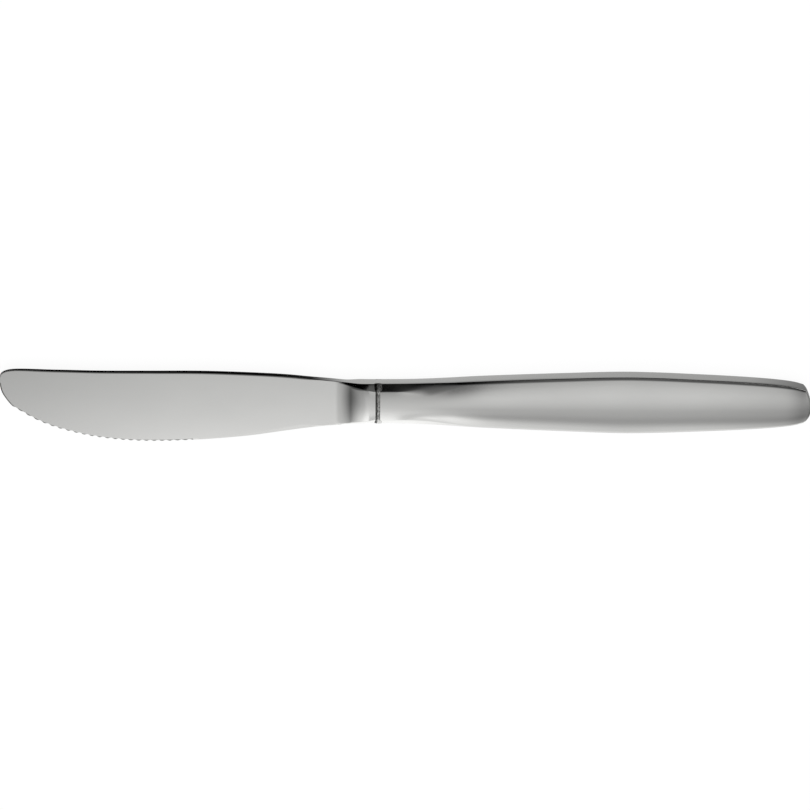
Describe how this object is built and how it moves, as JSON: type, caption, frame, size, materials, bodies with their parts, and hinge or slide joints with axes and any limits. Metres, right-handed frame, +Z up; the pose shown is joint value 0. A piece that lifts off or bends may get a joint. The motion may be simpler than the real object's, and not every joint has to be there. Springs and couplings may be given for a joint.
{
  "type": "table knife",
  "caption": "Stainless table knife with a rounded, finely serrated blade, a forged bolster and a hollow tapering handle with flat top and bottom.",
  "frame": {"origin": "centre of the knife's length and height, at the level of its lowest place as it lies on its side", "axes": "+X from the tip of the blade to the butt, +Y from the cutting edge to the spine, +Z up through the thickness, towards the front face"},
  "size_m": [0.21, 0.02, 0.0084],
  "materials": {
    "blade_steel": "fine satin grinding across the blade, polished bolster",
    "handle_steel": "satin, brushed lengthwise, polished flat strips",
    "seam_steel": "weld, ground flush and polished",
    "solder": "rough, dull grey",
    "cement": "dull filled cement"
  },
  "bodies": {
    "root": {"blade": "blade_steel", "handle_shell_front": "handle_steel", "handle_shell_back": "handle_steel", "seam_weld": "seam_steel", "bolster_solder": "solder", "tang_cement": "cement"}
  },
  "joints": []
}
